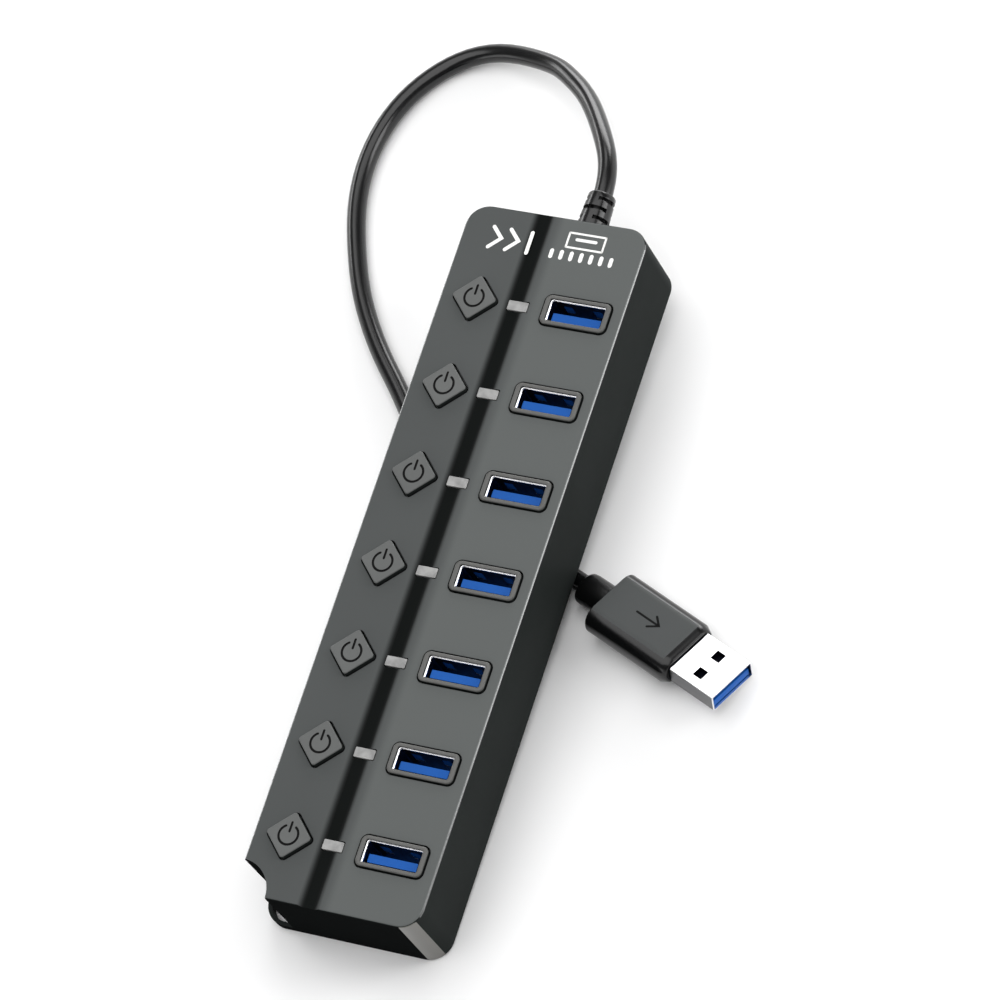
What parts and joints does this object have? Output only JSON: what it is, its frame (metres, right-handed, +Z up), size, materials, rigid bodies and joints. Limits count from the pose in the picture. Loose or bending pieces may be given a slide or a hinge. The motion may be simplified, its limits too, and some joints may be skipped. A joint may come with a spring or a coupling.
{
  "type": "usb hub",
  "caption": "Flat dark grey bar with a row of upright USB sockets, a power button and a light beside each, and a short cord ending in a plug.",
  "frame": {"origin": "on the table, under the middle of the case (without its cord, plug and strain relief)", "axes": "+X across the case towards the sockets, +Y along the case towards the end that the cord leaves, +Z up; the case lies on its back across its own cord, so its face leans 3 degrees back from +Z towards -Y"},
  "size_m": [0.1288, 0.2116, 0.0283],
  "materials": {
    "case_plastic": "satin dark grey moulded plastic, darker in the groove and on the sides",
    "plate_plastic": "fine matt black moulded plastic",
    "bezel_plastic": "satin dark grey moulded plastic",
    "button_plastic": "satin dark grey with a black engraved power mark",
    "light_pipe_plastic": "milky translucent acrylic",
    "socket_metal": "bright nickel plate",
    "blue_plastic": "bright blue moulded plastic",
    "switch_plastic": "black moulded plastic",
    "board_laminate": "green solder mask on glass laminate",
    "chip_resin": "matt black moulding resin",
    "can_metal": "plain metal can",
    "screw_steel": "dull plated steel",
    "cord_jacket": "smooth black jacket with soft gloss",
    "plug_grip": "black moulded grip with soft gloss"
  },
  "bodies": {
    "hub": {"top_cover": "case_plastic", "bottom_cover": "plate_plastic", "port_bezel_1": "bezel_plastic", "port_bezel_2": "bezel_plastic", "port_bezel_3": "bezel_plastic", "port_bezel_4": "bezel_plastic", "port_bezel_5": "bezel_plastic", "port_bezel_6": "bezel_plastic", "port_bezel_7": "bezel_plastic", "port_shell_1": "socket_metal", "port_shell_2": "socket_metal", "port_shell_3": "socket_metal", "port_shell_4": "socket_metal", "port_shell_5": "socket_metal", "port_shell_6": "socket_metal", "port_shell_7": "socket_metal", "port_insulator_1": "blue_plastic", "port_insulator_2": "blue_plastic", "port_insulator_3": "blue_plastic", "port_insulator_4": "blue_plastic", "port_insulator_5": "blue_plastic", "port_insulator_6": "blue_plastic", "port_insulator_7": "blue_plastic", "switch_1": "switch_plastic", "switch_2": "switch_plastic", "switch_3": "switch_plastic", "switch_4": "switch_plastic", "switch_5": "switch_plastic", "switch_6": "switch_plastic", "switch_7": "switch_plastic", "light_pipe_1": "light_pipe_plastic", "light_pipe_2": "light_pipe_plastic", "light_pipe_3": "light_pipe_plastic", "light_pipe_4": "light_pipe_plastic", "light_pipe_5": "light_pipe_plastic", "light_pipe_6": "light_pipe_plastic", "light_pipe_7": "light_pipe_plastic", "circuit_board": "board_laminate", "hub_chip_1": "chip_resin", "hub_chip_2": "chip_resin", "crystal_can": "can_metal", "screw_1": "screw_steel", "screw_2": "screw_steel", "screw_3": "screw_steel", "screw_4": "screw_steel", "strain_relief": "cord_jacket", "cord": "cord_jacket", "cord_tail": "cord_jacket", "plug_overmould": "plug_grip", "plug_shell": "socket_metal", "plug_insulator": "blue_plastic"},
    "button_1": {"button_1": "button_plastic"},
    "button_2": {"button_2": "button_plastic"},
    "button_3": {"button_3": "button_plastic"},
    "button_4": {"button_4": "button_plastic"},
    "button_5": {"button_5": "button_plastic"},
    "button_6": {"button_6": "button_plastic"},
    "button_7": {"button_7": "button_plastic"}
  },
  "joints": [
    {"name": "button_1_press", "type": "slide", "parent": "hub", "child": "button_1", "axis": [0, 0.0517, -0.9987], "range_m": [0, 0.0012], "stiffness_N_per_m": 350, "springref_m": -0.003},
    {"name": "button_2_press", "type": "slide", "parent": "hub", "child": "button_2", "axis": [0, 0.0517, -0.9987], "range_m": [0, 0.0012], "stiffness_N_per_m": 350, "springref_m": -0.003},
    {"name": "button_3_press", "type": "slide", "parent": "hub", "child": "button_3", "axis": [0, 0.0517, -0.9987], "range_m": [0, 0.0012], "stiffness_N_per_m": 350, "springref_m": -0.003},
    {"name": "button_4_press", "type": "slide", "parent": "hub", "child": "button_4", "axis": [0, 0.0517, -0.9987], "range_m": [0, 0.0012], "stiffness_N_per_m": 350, "springref_m": -0.003},
    {"name": "button_5_press", "type": "slide", "parent": "hub", "child": "button_5", "axis": [0, 0.0517, -0.9987], "range_m": [0, 0.0012], "stiffness_N_per_m": 350, "springref_m": -0.003},
    {"name": "button_6_press", "type": "slide", "parent": "hub", "child": "button_6", "axis": [0, 0.0517, -0.9987], "range_m": [0, 0.0012], "stiffness_N_per_m": 350, "springref_m": -0.003},
    {"name": "button_7_press", "type": "slide", "parent": "hub", "child": "button_7", "axis": [0, 0.0517, -0.9987], "range_m": [0, 0.0012], "stiffness_N_per_m": 350, "springref_m": -0.003}
  ]
}
